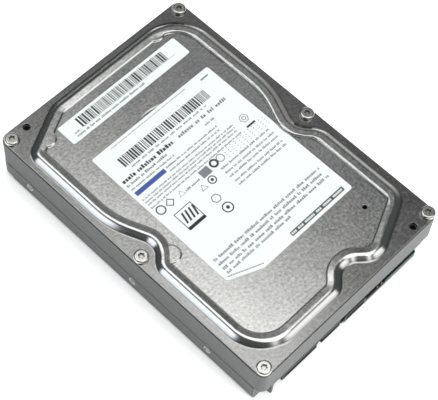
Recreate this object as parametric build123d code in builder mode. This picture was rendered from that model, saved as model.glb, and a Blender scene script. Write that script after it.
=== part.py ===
"""A 3.5 inch hard disk drive with two platters, built as separate pieces.

Millimetres. X is the width, +Y runs away from the connector end, +Z is the
cover and label side. The origin is the middle of the underside.
"""
import os
from math import atan2, cos, degrees, radians, sin

from build123d import *

os.makedirs("parts", exist_ok=True)

# ---- driving dimensions ----------------------------------------------------
width, length, height = 101.6, 147.0, 26.1
half_x, half_y = width / 2, length / 2
rim_top = 23.2                    # top of the cast walls
cover_under = 23.5                # the gasket fills the 0.3 mm between
flange_top = 24.5                 # low outer flange of the cover
crest_fall = 0.2                  # how far the top of the bead slopes down inward
plateau = 25.45                   # recessed panel inside the raised bead
board_ceiling = 5.6               # underside of the casting over the board
bay_floor = 8.0                   # floor of the actuator bay
bowl_floor = 9.4                  # floor under the platters

side_hole_z, bottom_hole_x = 6.35, 47.625
side_hole_y = (-45.0, -3.4, 56.6)
bottom_hole_y = (-32.22, 12.23)
rail_round = 1.7                  # lower outer edges of the rails
rail_top = 9.6                    # the walls stand in from the rails above this
wall_step = 0.15
thread_r = 1.42                   # tapping size of a 6-32 screw

cover_screw_xy = [(x, y) for y in (69.2, -5.2, -70.3) for x in (-47.3, 47.3)]
locating_holes = [(-39.0, 69.9), (38.7, -70.1)]
breather_xy = (31.0, -51.2)

spindle = (0, 23.2)
bowl_r, platter_r, platter_bore = 48.2, 47.5, 12.5
platter_t, platter_gap = 1.27, 3.0
lower_z = 12.6
upper_z = lower_z + platter_t + platter_gap

pivot = (-10, -31)
parked = 22                       # direction of the arms when parked, degrees
coil_dir = parked + 180
latch_xy = (-31.67, -59.75)

board_z, board_t = 3.1, 1.2
board_screw_xy = [(-39.5, -60), (39.5, -60), (-39.5, -2), (39.5, -2), (-6, -60)]
sata_x0, sata_x1 = -37.6, -4.2

# outer foot of the raised bead on the cover: x, y, corner radius
bead_foot = [
    (-25.2, 70.3, 12), (47.5, 70.3, 18.5), (47.7, 13.5, 40), (39.6, -5.6, 8),
    (47.2, -13.6, 12), (47.2, -58.6, 9), (22.6, -69.8, 9), (15.8, -69.8, 9),
    (8.9, -63.5, 6.5), (3.6, -63.5, 6.5), (-3.0, -69.6, 9), (-47.4, -69.6, 18),
    (-47.4, -13.0, 9), (-40.0, -5.2, 7), (-48.0, 13.5, 40), (-48.0, 58.8, 7),
]
bead_pads = [(30.3, 66.9), (-38.7, -12.6), (-37.4, 59.7)]


# ---- helpers ---------------------------------------------------------------
def polar(centre, radius, angle):
    """Point at a distance and a direction from a centre."""
    return (centre[0] + radius * cos(radians(angle)),
            centre[1] + radius * sin(radians(angle)))


def outline(points):
    """Closed outline of straight runs with a rounded corner at each point."""
    with BuildLine() as edge:
        FilletPolyline(*[(x, y) for x, y, r in points],
                       radius=[r for x, y, r in points], close=True)
    make_face(edge.edges())


def ring_sector(centre, r_in, r_out, start, end, mode=Mode.ADD):
    """Segment of a flat ring between two directions."""
    with BuildLine() as edge:
        outer = CenterArc(centre, r_out, start, end - start)
        inner = CenterArc(centre, r_in, start, end - start)
        Line(outer @ 0, inner @ 0)
        Line(outer @ 1, inner @ 1)
    make_face(edge.edges(), mode=mode)


def save(part, label):
    part.label = label
    export_step(part, f"parts/{label}.step")


separator_lugs = [polar(spindle, 50.0, 118.5), polar(spindle, 50.0, 135.5)]

# ---- casting ---------------------------------------------------------------
with BuildPart() as base_casting:
    with BuildSketch():
        RectangleRounded(width, length, 3.5)
    extrude(amount=rim_top)
    fillet(base_casting.edges().filter_by(Axis.Y).group_by(Axis.Z)[0], rail_round)
    # the walls step in slightly above the mounting rails
    with BuildSketch(Plane.XY.offset(rail_top)):
        Rectangle(width + 4, length + 4)
        RectangleRounded(width - 2 * wall_step, length - 0.1, 3.5, mode=Mode.SUBTRACT)
    extrude(amount=rim_top, mode=Mode.SUBTRACT)
    # bulges on the side walls round the mounting holes
    for y in side_hole_y:
        with BuildSketch(Plane.XY.offset(rail_top)):
            with Locations((half_x - 3.6, y), (3.6 - half_x, y)):
                Circle(3.6)
        extrude(amount=1.8)
    # bowl for the platters and bay for the actuator
    with BuildSketch(Plane.XY.offset(bowl_floor)):
        with Locations(spindle):
            Circle(bowl_r)
    extrude(amount=20, mode=Mode.SUBTRACT)
    with BuildSketch(Plane.XY.offset(bay_floor)):
        outline(bead_foot)
        offset(amount=-1.5)
        with Locations((0, 60)):
            Rectangle(120, 120, mode=Mode.SUBTRACT)
        with Locations(spindle):
            Circle(bowl_r - 0.4, mode=Mode.SUBTRACT)
    extrude(amount=20, mode=Mode.SUBTRACT)
    # pocket for the recirculation filter and ledge for the air separator
    with BuildSketch(Plane.XY.offset(bowl_floor)):
        with Locations(Location(polar(spindle, 51, 45) + (0,), 45)):
            Rectangle(10, 14)
    extrude(amount=20, mode=Mode.SUBTRACT)
    with BuildSketch(Plane.XY.offset(14.8)):
        ring_sector(spindle, 46, 51.8, 113.5, 140.5)
    extrude(amount=20, mode=Mode.SUBTRACT)
    # motor cup: a boss under the floor with the cup sunk into it
    with BuildSketch(Plane.XY.offset(2.6)):
        with Locations(spindle):
            Circle(16.5)
    extrude(amount=4)
    # underside: board recess with its opening through the connector wall
    with BuildSketch():
        with Locations((0, -35.1)):
            Rectangle(87.2, 77.8)
    extrude(amount=board_ceiling, mode=Mode.SUBTRACT)
    with BuildSketch():
        with Locations(((sata_x0 + sata_x1) / 2, -69.7)):
            Rectangle(34.6, 8.4)
        with Locations((10.2, -69.7)):
            Rectangle(25.4, 8.4)
    extrude(amount=6.5, mode=Mode.SUBTRACT)
    # underside of the bowl: ring pocket crossed by ribs
    with BuildSketch():
        with Locations(spindle):
            Circle(43.2)
            with PolarLocations(0, 6, start_angle=0):
                with Locations((31, 0)):
                    Rectangle(30, 2.4, mode=Mode.SUBTRACT)
    extrude(amount=6.4, mode=Mode.SUBTRACT)
    with BuildSketch():
        with Locations(spindle):
            Circle(43.2)
        with Locations((0, 6)):
            Rectangle(87.2, 10)
    extrude(amount=2.2, mode=Mode.SUBTRACT)
    with BuildSketch(Plane.XY.offset(2.6)):
        with Locations(spindle):
            Circle(16.5)
    extrude(amount=5)
    with BuildSketch(Plane.XY.offset(4.6)):
        with Locations(spindle):
            Circle(15.0)
    extrude(amount=10, mode=Mode.SUBTRACT)
    # corner feet stop short of the ends; the far corners are lifted
    with BuildSketch():
        with Locations((-48.4, -73), (47.2, -73)):
            Rectangle(8.2, 6.4)
    extrude(amount=9.6, mode=Mode.SUBTRACT)
    with BuildSketch():
        with Locations((0, 72.6)):
            Rectangle(width + 2, 11)
    extrude(amount=2.4, mode=Mode.SUBTRACT)
    # the connector wall steps back above the board
    with BuildSketch():
        with Locations((0, -half_y)):
            Rectangle(87.2, 4.2)
    extrude(amount=9.2, mode=Mode.SUBTRACT)
    # board posts, cover screw seats and their holes
    with BuildSketch(Plane.XY.offset(board_z + board_t)):
        with Locations(board_screw_xy):
            Circle(3.1)
    extrude(amount=board_ceiling - board_z - board_t + 0.2)
    with BuildSketch(Plane.XY.offset(board_z + board_t)):
        with Locations(board_screw_xy):
            Circle(1.2)
    extrude(amount=2.8, mode=Mode.SUBTRACT)
    with BuildSketch(Plane.XY.offset(rim_top - 1)) as seats:
        with Locations(cover_screw_xy):
            Circle(3.4)
        RectangleRounded(width - 2 * wall_step, length - 0.1, 3.5, mode=Mode.INTERSECT)
    extrude(amount=cover_under - rim_top + 1)
    with BuildSketch(Plane.XY.offset(cover_under)):
        with Locations(cover_screw_xy):
            Circle(1.3)
    extrude(amount=-9, mode=Mode.SUBTRACT)
    with BuildSketch(Plane.XY.offset(rim_top)):
        with Locations(locating_holes):
            Circle(1.5)
    extrude(amount=-6, mode=Mode.SUBTRACT)
    # slot for the head connector and threaded mounting holes
    with BuildSketch(Plane.XY.offset(4)):
        with Locations((22, -50)):
            Rectangle(18.4, 5.4)
    extrude(amount=6, mode=Mode.SUBTRACT)
    with BuildSketch():
        with Locations([(x, y) for x in (-bottom_hole_x, bottom_hole_x) for y in bottom_hole_y]):
            Circle(thread_r)
    extrude(amount=5.2, mode=Mode.SUBTRACT)
    for side in (-1, 1):
        with BuildSketch(Plane.YZ.offset(side * half_x)):
            with Locations([(y, side_hole_z) for y in side_hole_y]):
                Circle(thread_r)
        extrude(amount=-side * 5.0, mode=Mode.SUBTRACT)
    # pins for the ramp screw, yoke corner screws and the internal screws
    with BuildSketch(Plane.XY.offset(bay_floor)):
        with Locations(polar(pivot, 52, 8.6), (12.2, -50), (31.8, -50)):
            Circle(0.8)
    extrude(amount=-1.8, mode=Mode.SUBTRACT)
    with BuildSketch(Plane.XY.offset(14.8)):
        with Locations(separator_lugs):
            Circle(0.8)
    extrude(amount=-4, mode=Mode.SUBTRACT)
save(base_casting.part, "base_casting")

# ---- cover -----------------------------------------------------------------
with BuildPart() as top_cover:
    with BuildSketch(Plane.XY.offset(cover_under)):
        RectangleRounded(width - 0.9, length - 0.7, 3.2)
    extrude(amount=flange_top - cover_under)
    with BuildSketch(Plane.XY.offset(flange_top)):
        outline(bead_foot)
    with BuildSketch(Plane.XY.offset(height)):
        outline(bead_foot)
        offset(amount=-2.6)
    loft(ruled=True)
    # the crest falls slightly inward before it steps down, but stays level along the right side
    with BuildSketch(Plane.XY.offset(height - crest_fall)):
        outline([(x - 2.5 if x > 30 else x, y, r) for x, y, r in bead_foot])
        offset(amount=-5.6)
    extrude(amount=crest_fall + 0.1, taper=-84.5, mode=Mode.SUBTRACT)
    # the panel inside the bead, leaving round pads at crest level
    with BuildSketch(Plane.XY.offset(plateau)):
        outline(bead_foot)
        offset(amount=-6.2)
        with Locations(bead_pads):
            Circle(4.3, mode=Mode.SUBTRACT)
    extrude(amount=height - crest_fall - plateau + 0.1, taper=-50, mode=Mode.SUBTRACT)
    # hollow underside, left solid over the actuator pivot
    with BuildSketch(Plane.XY.offset(cover_under)):
        outline(bead_foot)
        offset(amount=-1.6)
        with Locations(pivot):
            Circle(6, mode=Mode.SUBTRACT)
    extrude(amount=1.3, mode=Mode.SUBTRACT)
    # shallow dished disc over the spindle and dimple for the pivot screw
    with BuildSketch(Plane.XY.offset(plateau)):
        with Locations(spindle):
            Circle(17.9)
    extrude(amount=-0.3, taper=45, mode=Mode.SUBTRACT)
    with BuildSketch(Plane.XY.offset(plateau)):
        with Locations(pivot):
            Circle(4.2)
    extrude(amount=-1.3, mode=Mode.SUBTRACT)
    # holes for screws, locating pins and the breather
    with BuildSketch(Plane.XY.offset(cover_under)):
        with Locations(cover_screw_xy + [pivot]):
            Circle(1.6)
        with Locations(locating_holes):
            Circle(1.6)
        with Locations(breather_xy):
            Circle(1.0)
    extrude(amount=5, mode=Mode.SUBTRACT)
    # soften the bead at its crest and foot
    crest = top_cover.faces().filter_by(Axis.Z).sort_by(Axis.Z)[-1]
    fillet(crest.outer_wire().edges(), 2.2)
    flange = top_cover.faces().filter_by(lambda f: abs(f.center().Z - flange_top) < 1e-3).sort_by(SortBy.AREA)[-1]
    fillet(flange.inner_wires().sort_by(SortBy.LENGTH)[-1].edges(), 1.0)
save(top_cover.part, "top_cover")

with BuildPart() as cover_gasket:
    with BuildSketch(Plane.XY.offset(rim_top)) as sealed:
        outline(bead_foot)
        offset(amount=-0.8)
        with Locations(spindle):
            Circle(48.6)
        offset(amount=1.5)
    extrude(amount=cover_under - rim_top)
    with BuildSketch(Plane.XY.offset(rim_top)):
        outline(bead_foot)
        offset(amount=-0.8)
        with Locations(spindle):
            Circle(48.6)
    extrude(amount=cover_under - rim_top, mode=Mode.SUBTRACT)
save(cover_gasket.part, "cover_gasket")


def machine_screw(at, seat, head_r, head_h, shank_r, shank_l, lobe_r, down=True):
    """Pan head screws with a six lobed recess, heads on the seat plane."""
    turn = 1 if down else -1
    with BuildSketch(Plane.XY.offset(seat)) as head:
        with Locations(at):
            Circle(head_r)
    extrude(head.sketch, amount=turn * head_h)
    top = faces().filter_by(lambda f: abs(f.center().Z - seat - turn * head_h) < 1e-6)
    fillet(top.edges(), head_h * 0.55)
    with BuildSketch(Plane.XY.offset(seat + turn * head_h)) as recess:
        for x, y in at:
            with Locations((x, y)):
                Circle(lobe_r * 0.72)
                with PolarLocations(lobe_r * 0.68, 6):
                    Circle(lobe_r * 0.32)
    extrude(recess.sketch, amount=-turn * head_h * 0.6, mode=Mode.SUBTRACT)
    with BuildSketch(Plane.XY.offset(seat)) as shank:
        with Locations(at):
            Circle(shank_r)
    extrude(shank.sketch, amount=-turn * shank_l)


with BuildPart() as cover_screws:
    machine_screw(cover_screw_xy, flange_top, 3.1, 1.5, 1.25, 8, 1.35)
save(cover_screws.part, "cover_screws")

with BuildPart() as pivot_screw:
    machine_screw([pivot], plateau - 1.3, 2.9, 1.1, 1.25, 6, 1.4)
save(pivot_screw.part, "pivot_screw")

with BuildPart() as main_label:
    with BuildSketch(Plane.XY.offset(plateau)):
        outline([(-31.5, 39.6, 1.0), (34.3, 39.6, 1.0), (34.3, -41.8, 1.2),
                 (-17.0, -41.8, 1.5), (-31.5, -35.6, 1.5)])
    extrude(amount=0.1)
save(main_label.part, "main_label")

with BuildPart() as serial_label:
    with BuildSketch(Plane.XY.offset(plateau)):
        with Locations((1.6, 54.9)):
            RectangleRounded(65.8, 10.2, 0.9)
    extrude(amount=0.1)
save(serial_label.part, "serial_label")

with BuildPart() as breather_filter:
    with BuildSketch(Plane.XY.offset(cover_under + 1.3)):
        with Locations(breather_xy):
            RectangleRounded(13, 13, 3)
    extrude(amount=-2.4)
    with BuildSketch(Plane.XY.offset(cover_under + 1.3)):
        with Locations(breather_xy):
            Circle(1.2)
    extrude(amount=-2.0, mode=Mode.SUBTRACT)
save(breather_filter.part, "breather_filter")

# ---- circuit board ---------------------------------------------------------
with BuildPart() as circuit_board:
    with BuildSketch(Plane.XY.offset(board_z)):
        outline([(-43, -73.4, 0.8), (41.2, -73.4, 0.8), (43, -69.5, 0.8), (43, 3, 2), (22, 3, 3),
                 (17, -1, 3), (-17, -1, 3), (-22, 3, 3), (-43, 3, 2)])
        with Locations((-40, -73.6)):
            Rectangle(10, 2.8, mode=Mode.SUBTRACT)
        with Locations(((sata_x0 + sata_x1) / 2, -69.8)):
            Rectangle(34.0, 7.4, mode=Mode.SUBTRACT)
        with Locations((10.0, -70.4)):
            Rectangle(24.6, 7.0, mode=Mode.SUBTRACT)
        with Locations(board_screw_xy):
            Circle(1.5, mode=Mode.SUBTRACT)
    extrude(amount=board_t)
save(circuit_board.part, "circuit_board")

with BuildPart() as board_insulator:
    with BuildSketch(Plane.XY.offset(board_z + board_t)):
        with Locations((0, -33)):
            RectangleRounded(80, 60, 3)
        with Locations(board_screw_xy):
            Circle(3.8, mode=Mode.SUBTRACT)
        with Locations((22, -50)):
            Rectangle(21, 8, mode=Mode.SUBTRACT)
        with Locations((0, -4)):
            Rectangle(14, 6, mode=Mode.SUBTRACT)
    extrude(amount=board_ceiling - board_z - board_t)
save(board_insulator.part, "board_insulator")

with BuildPart() as board_screws:
    machine_screw(board_screw_xy, board_z, 2.5, 0.9, 1.15, 3.8, 1.0, down=False)
save(board_screws.part, "board_screws")

contact_x = [-35.4 + 1.27 * i for i in range(15)] + [-13.4 + 1.27 * i for i in range(7)]
with BuildPart() as sata_housing:
    with BuildSketch(Plane.XY.offset(1.4)):
        with Locations(((sata_x0 + sata_x1) / 2, -69.75)):
            Rectangle(sata_x1 - sata_x0, 6.5)
    extrude(amount=4.8)
    with BuildSketch(Plane.XZ.offset(73.0)):
        with Locations(((sata_x0 + sata_x1) / 2, 3.8)):
            Rectangle(sata_x1 - sata_x0 - 1.3, 3.5)
    extrude(amount=-5.2, mode=Mode.SUBTRACT)
    # the two tongues, each with the short leg of its L
    with BuildSketch(Plane.XZ.offset(72.7)):
        with Locations((-26.5, 3.7)):
            Rectangle(19.6, 1.2)
        with Locations((-9.6, 3.7)):
            Rectangle(9.2, 1.2)
        with Locations((-35.7, 2.9), (-5.6, 2.9)):
            Rectangle(1.2, 1.4)
    extrude(amount=-5.0)
    # gap between the two halves of the shroud and slots for the contacts
    with BuildSketch(Plane.XY.offset(1.0)):
        with Locations((-16.2, -72)):
            Rectangle(2.6, 3)
    extrude(amount=1.4, mode=Mode.SUBTRACT)
    with BuildSketch(Plane.XZ.offset(72.2)):
        with Locations([(x, board_z - 0.05) for x in contact_x]):
            Rectangle(0.72, 0.1)
    extrude(amount=-6, mode=Mode.SUBTRACT)
save(sata_housing.part, "sata_housing")

with BuildPart() as sata_contacts:
    with BuildSketch(Plane.XZ.offset(72.2)):
        with Locations([(x, board_z - 0.05) for x in contact_x]):
            Rectangle(0.7, 0.1)
    extrude(amount=-7.8)
save(sata_contacts.part, "sata_contacts")

pin_xz = [(17.6, 5.2), (20.14, 5.2)]
with BuildPart() as jumper_header:
    with BuildSketch(Plane.XY.offset(1.3)):
        with Locations((4.3, -70.2)):
            Rectangle(12.8, 6.4)
        with Locations((16.4, -68.4)):
            Rectangle(11.6, 2.8)
    extrude(amount=4.9)
    with BuildSketch(Plane.XZ.offset(73.4)):
        with Locations((4.3, 3.75)):
            Rectangle(10.6, 2.6)
    extrude(amount=-4.0, mode=Mode.SUBTRACT)
    # lip under the pins, carried on as a strip under the front edge of the board
    with BuildSketch(Plane.XY.offset(1.3)):
        with Locations((16.4, -71.5)):
            Rectangle(11.7, 3.8)
    extrude(amount=2.3)
    with BuildSketch(Plane.XY.offset(1.3)):
        with Locations((31.4, -72.5)):
            Rectangle(18.8, 1.8)
    extrude(amount=board_z - 1.3)
    with BuildSketch(Plane.XZ.offset(70)):
        with Locations(pin_xz):
            Rectangle(0.66, 0.66)
    extrude(amount=-4, mode=Mode.SUBTRACT)
save(jumper_header.part, "jumper_header")

with BuildPart() as jumper_pins:
    with BuildSketch(Plane.XZ.offset(73.3)):
        with Locations(pin_xz):
            Rectangle(0.64, 0.64)
    extrude(amount=-7.6)
save(jumper_pins.part, "jumper_pins")


def under_board(boxes, depth, soften=0.2):
    """Blocks hanging from the underside of the board: x, y, size x, size y."""
    with BuildSketch(Plane.XY.offset(board_z)) as plan:
        for x, y, size_x, size_y in boxes:
            with Locations((x, y)):
                Rectangle(size_x, size_y)
    extrude(plan.sketch, amount=-depth)
    low = faces().filter_by(lambda f: abs(f.center().Z - board_z + depth) < 1e-6)
    chamfer(low.edges(), soften)


with BuildPart() as controller_chip:
    under_board([(4, -27, 14, 14)], 1.2)
save(controller_chip.part, "controller_chip")

with BuildPart() as memory_chip:
    under_board([(-19, -34, 10.2, 18.4)], 1.0)
save(memory_chip.part, "memory_chip")

with BuildPart() as motor_driver_chip:
    under_board([(19, -9, 8, 8)], 0.9)
save(motor_driver_chip.part, "motor_driver_chip")

with BuildPart() as quartz_crystal:
    under_board([(21, -27, 3.2, 5.0)], 1.0)
save(quartz_crystal.part, "quartz_crystal")

with BuildPart() as power_inductors:
    under_board([(32, -14, 5, 5), (32, -22, 5, 5)], 1.8, 0.5)
save(power_inductors.part, "power_inductors")

with BuildPart() as filter_capacitors:
    under_board([(-34, -14, 3.5, 2.8), (-34, -20, 3.5, 2.8), (-34, -46, 2.8, 3.5), (33, -32, 3.5, 2.8)], 1.7, 0.3)
save(filter_capacitors.part, "filter_capacitors")

small_parts = [(-8 + 2.4 * i, -15.5, 1.0, 0.6) for i in range(9)]
small_parts += [(-6.5, -21 - 2.2 * i, 1.0, 0.6) for i in range(6)]
small_parts += [(13.4, -39 + 2.2 * i, 0.6, 1.0) for i in range(5)]
small_parts += [(-30 + 2.8 * i, -61.5, 1.6, 0.8) for i in range(8)]
small_parts += [(-28, -8 - 2.6 * i, 1.6, 0.8) for i in range(4)]
small_parts += [(36, -40 - 2.6 * i, 1.6, 0.8) for i in range(5)]
with BuildPart() as board_passives:
    under_board(small_parts, 0.55, 0.08)
save(board_passives.part, "board_passives")

with BuildPart() as motor_flex:
    with BuildSketch(Plane.XY.offset(board_z + board_t)):
        with Locations((0, -4)):
            RectangleRounded(9, 4.4, 0.8)
    extrude(amount=board_ceiling - board_z - board_t)
    with BuildSketch(Plane.XY.offset(board_ceiling - 0.2)):
        with Locations((0, 1.0)):
            Rectangle(6, 11.2)
    extrude(amount=0.2)
save(motor_flex.part, "motor_flex")

# ---- spindle motor ---------------------------------------------------------
with BuildPart() as bearing_sleeve:
    with BuildSketch(Plane.XY.offset(4.6)):
        with Locations(spindle):
            Circle(4.5)
            Circle(2.03, mode=Mode.SUBTRACT)
    extrude(amount=11.9)
save(bearing_sleeve.part, "bearing_sleeve")

with BuildPart() as stator_core:
    with BuildSketch(Plane.XY.offset(6.4)):
        with Locations(spindle):
            Circle(6.4)
            with PolarLocations(8.6, 9):
                Rectangle(5, 1.6)
        for i in range(9):
            ring_sector(spindle, 10.9, 11.9, 40 * i - 14, 40 * i + 14)
        with Locations(spindle):
            Circle(4.5, mode=Mode.SUBTRACT)
    extrude(amount=2.1)
save(stator_core.part, "stator_core")

with BuildPart() as stator_coils:
    with BuildSketch(Plane.XY.offset(5.7)):
        with Locations(spindle):
            with PolarLocations(8.7, 9):
                Rectangle(3.4, 3.0)
    extrude(amount=3.5)
    with BuildSketch(Plane.XY.offset(6.4)):
        with Locations(spindle):
            with PolarLocations(8.7, 9):
                Rectangle(3.6, 1.6)
    extrude(amount=2.1, mode=Mode.SUBTRACT)
    fillet(stator_coils.edges().filter_by(lambda e: e.center().Z > 9.1 or e.center().Z < 5.8), 0.4)
save(stator_coils.part, "stator_coils")

with BuildPart() as spindle_shaft:
    with BuildSketch(Plane.XY.offset(4.9)):
        with Locations(spindle):
            Circle(2.0)
    extrude(amount=13.7)
save(spindle_shaft.part, "spindle_shaft")

hub_top = 18.6
with BuildPart() as spindle_hub:
    with BuildSketch(Plane.XZ):
        with BuildLine():
            Polyline((14.4, 5.2), (14.4, 11.0), (16.0, 11.0), (16.0, lower_z), (12.45, lower_z),
                     (12.45, hub_top), (2.0, hub_top), (2.0, 16.9), (5.0, 16.9), (5.0, 10.2),
                     (13.4, 10.2), (13.4, 5.2), close=True)
        make_face()
    revolve(axis=Axis.Z)
    with BuildSketch(Plane.XY.offset(hub_top)):
        with PolarLocations(8.5, 6):
            Circle(1.0)
    extrude(amount=-3.6, mode=Mode.SUBTRACT)
spindle_hub.part.position = (spindle[0], spindle[1], 0)
save(spindle_hub.part, "spindle_hub")

with BuildPart() as rotor_magnet:
    with BuildSketch(Plane.XY.offset(5.4)):
        with Locations(spindle):
            Circle(13.4)
            Circle(12.3, mode=Mode.SUBTRACT)
    extrude(amount=4.4)
save(rotor_magnet.part, "rotor_magnet")

for name, z in (("lower_platter", lower_z), ("upper_platter", upper_z)):
    with BuildPart() as platter:
        with BuildSketch(Plane.XY.offset(z)):
            with Locations(spindle):
                Circle(platter_r)
                Circle(platter_bore, mode=Mode.SUBTRACT)
        extrude(amount=platter_t)
        chamfer(platter.edges().filter_by(GeomType.CIRCLE), 0.12)
    save(platter.part, name)

with BuildPart() as platter_spacer:
    with BuildSketch(Plane.XY.offset(lower_z + platter_t)):
        with Locations(spindle):
            Circle(16.0)
            Circle(platter_bore, mode=Mode.SUBTRACT)
    extrude(amount=platter_gap)
save(platter_spacer.part, "platter_spacer")

clamp_z = upper_z + platter_t
with BuildPart() as disc_clamp:
    with BuildSketch(Plane.XZ):
        with BuildLine():
            Polyline((16.2, clamp_z), (16.2, clamp_z + 0.9), (15.7, 19.5), (4.0, 19.5),
                     (4.0, hub_top), (12.6, hub_top), (12.6, clamp_z), close=True)
        make_face()
    revolve(axis=Axis.Z)
    with BuildSketch(Plane.XY.offset(hub_top)):
        with PolarLocations(8.5, 6):
            Circle(1.0)
        with PolarLocations(11.2, 6, start_angle=30):
            Circle(0.8)
    extrude(amount=2, mode=Mode.SUBTRACT)
disc_clamp.part.position = (spindle[0], spindle[1], 0)
save(disc_clamp.part, "disc_clamp")

with BuildPart() as clamp_screws:
    machine_screw([polar(spindle, 8.5, 60 * i) for i in range(6)], 19.5, 1.8, 0.9, 0.95, 4.2, 0.85)
save(clamp_screws.part, "clamp_screws")

# ---- actuator --------------------------------------------------------------
arm_levels = [(10.85, 1.0), (14.62, 1.5), (18.89, 1.0)]
blade_z = [11.85, 14.44, 16.12, 18.71]
slider_z = [12.03, 14.14, 16.30, 18.41]
fork_z, fork_h = 13.9, 2.6

with BuildPart() as pivot_shaft:
    with BuildSketch(Plane.XY.offset(bay_floor)):
        with Locations(pivot):
            Circle(4.6)
    extrude(amount=1.2)
    with BuildSketch(Plane.XY.offset(bay_floor)):
        with Locations(pivot):
            Circle(2.5)
    extrude(amount=cover_under - bay_floor)
    with BuildSketch(Plane.XY.offset(cover_under)):
        with Locations(pivot):
            Circle(1.3)
    extrude(amount=-6, mode=Mode.SUBTRACT)
save(pivot_shaft.part, "pivot_shaft")

with BuildPart() as pivot_cartridge:
    with BuildSketch(Plane.XY.offset(9.7)):
        with Locations(pivot):
            Circle(5.0)
            Circle(2.56, mode=Mode.SUBTRACT)
    extrude(amount=11.8)
    with BuildSketch(Plane.XY.offset(12.6)):
        with Locations(pivot):
            Circle(4.2)
    extrude(amount=6, mode=Mode.SUBTRACT)
    with BuildSketch(Plane.XY.offset(21.5)):
        with Locations(pivot):
            Circle(4.1)
            Circle(3.5, mode=Mode.SUBTRACT)
    extrude(amount=-0.5, mode=Mode.SUBTRACT)
save(pivot_cartridge.part, "pivot_cartridge")

arm_frame = Plane(origin=(pivot[0], pivot[1], 0), x_dir=(cos(radians(parked)), sin(radians(parked)), 0),
                  z_dir=(0, 0, 1))
with BuildPart() as arm_block:
    with BuildSketch(Plane.XY.offset(10.2)):
        with Locations(pivot):
            Circle(6.6)
    extrude(amount=10.4)
    for z, thick in arm_levels:
        with BuildSketch(arm_frame.offset(z)):
            with BuildLine():
                Polyline((0, -6.2), (14, -5.2), (30.5, -2.6), (31.5, -1.6), (31.5, 1.6),
                         (30.5, 2.6), (14, 5.2), (0, 6.2), close=True)
            make_face()
            with Locations((16, 0)):
                SlotOverall(9, 4.6, mode=Mode.SUBTRACT)
            with Locations((25, 0)):
                Circle(1.4, mode=Mode.SUBTRACT)
        extrude(amount=thick)
    # fork that carries the coil, with the latch hook at its outer corner
    with BuildSketch(Plane.XY.offset(fork_z)):
        ring_sector(pivot, 4, 31.2, coil_dir - 18.6, coil_dir - 16)
        ring_sector(pivot, 4, 31.2, coil_dir + 16, coil_dir + 18.6)
        ring_sector(pivot, 4, 12.5, coil_dir - 18.6, coil_dir + 18.6)
        ring_sector(pivot, 30.6, 33.2, coil_dir + 16.8, coil_dir + 18.6)
    extrude(amount=fork_h)
    with BuildSketch(Plane.XY.offset(9)):
        with Locations(pivot):
            Circle(5.0)
    extrude(amount=14, mode=Mode.SUBTRACT)
save(arm_block.part, "arm_block")

with BuildPart() as coil_frame:
    with BuildSketch(Plane.XY.offset(fork_z)):
        ring_sector(pivot, 12.5, 31.2, coil_dir - 16, coil_dir + 16)
        ring_sector(pivot, 14.5, 30, coil_dir - 13.5, coil_dir + 13.5, mode=Mode.SUBTRACT)
    extrude(amount=fork_h)
save(coil_frame.part, "coil_frame")

with BuildPart() as voice_coil:
    with BuildSketch(Plane.XY.offset(13.4)):
        ring_sector(pivot, 14.5, 30, coil_dir - 13.5, coil_dir + 13.5)
        ring_sector(pivot, 18.3, 26.2, coil_dir - 6, coil_dir + 6, mode=Mode.SUBTRACT)
    extrude(amount=3.6)
save(voice_coil.part, "voice_coil")

with BuildPart() as head_suspensions:
    for z in blade_z:
        with BuildSketch(arm_frame.offset(z)):
            with BuildLine():
                Polyline((27.5, -2.4), (33, -2.4), (47.2, -0.8), (48.6, -0.5), (50.2, -0.5),
                         (50.2, 0.5), (48.6, 0.5), (47.2, 0.8), (33, 2.4), (27.5, 2.4), close=True)
            make_face()
            with Locations((36.5, 0)):
                SlotOverall(5, 1.6, mode=Mode.SUBTRACT)
        extrude(amount=0.18)
save(head_suspensions.part, "head_suspensions")

with BuildPart() as head_sliders:
    for z in slider_z:
        with BuildSketch(arm_frame.offset(z)):
            with Locations((47.5, 0)):
                Rectangle(1.2, 1.0)
        extrude(amount=0.3)
save(head_sliders.part, "head_sliders")

with BuildPart() as arm_flex:
    with BuildSketch(Plane.XY.offset(16.6)):
        ring_sector(pivot, 6.6, 6.8, parked - 105, parked - 70)
    extrude(amount=3.8)
save(arm_flex.part, "arm_flex")

# ---- voice coil motor ------------------------------------------------------
yoke_posts = [polar(pivot, 30.5, 177.3), polar(pivot, 30.5, 262.8), polar(pivot, 14.5, 268)]
stop_posts = [polar(pivot, 24, 177.4), polar(pivot, 24, 263.0)]
for name, z in (("lower_yoke", bay_floor), ("upper_yoke", 20.0)):
    with BuildPart() as yoke:
        with BuildSketch(Plane.XY.offset(z)):
            ring_sector(pivot, 11, 33, 173.5, 273)
        extrude(amount=2.2)
        fillet(yoke.edges().filter_by(Axis.Z), 1.5)
    save(yoke.part, name)
for name, z, thick in (("lower_magnet", 10.2, 2.7), ("upper_magnet", 17.5, 2.5)):
    with BuildPart() as magnet:
        with BuildSketch(Plane.XY.offset(z)):
            ring_sector(pivot, 14, 30.5, 186, 254)
        extrude(amount=thick)
        fillet(magnet.edges().filter_by(Axis.Z), 1.2)
    save(magnet.part, name)

with BuildPart() as yoke_posts_part:
    with BuildSketch(Plane.XY.offset(10.2)):
        with Locations(yoke_posts):
            Circle(1.6)
    extrude(amount=9.8)
save(yoke_posts_part.part, "yoke_posts")

with BuildPart() as crash_stops:
    with BuildSketch(Plane.XY.offset(10.2)):
        with Locations(stop_posts):
            Circle(2.0)
    extrude(amount=7.2)
    fillet(crash_stops.edges().filter_by(lambda e: e.center().Z > 17), 0.5)
save(crash_stops.part, "crash_stops")

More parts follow.
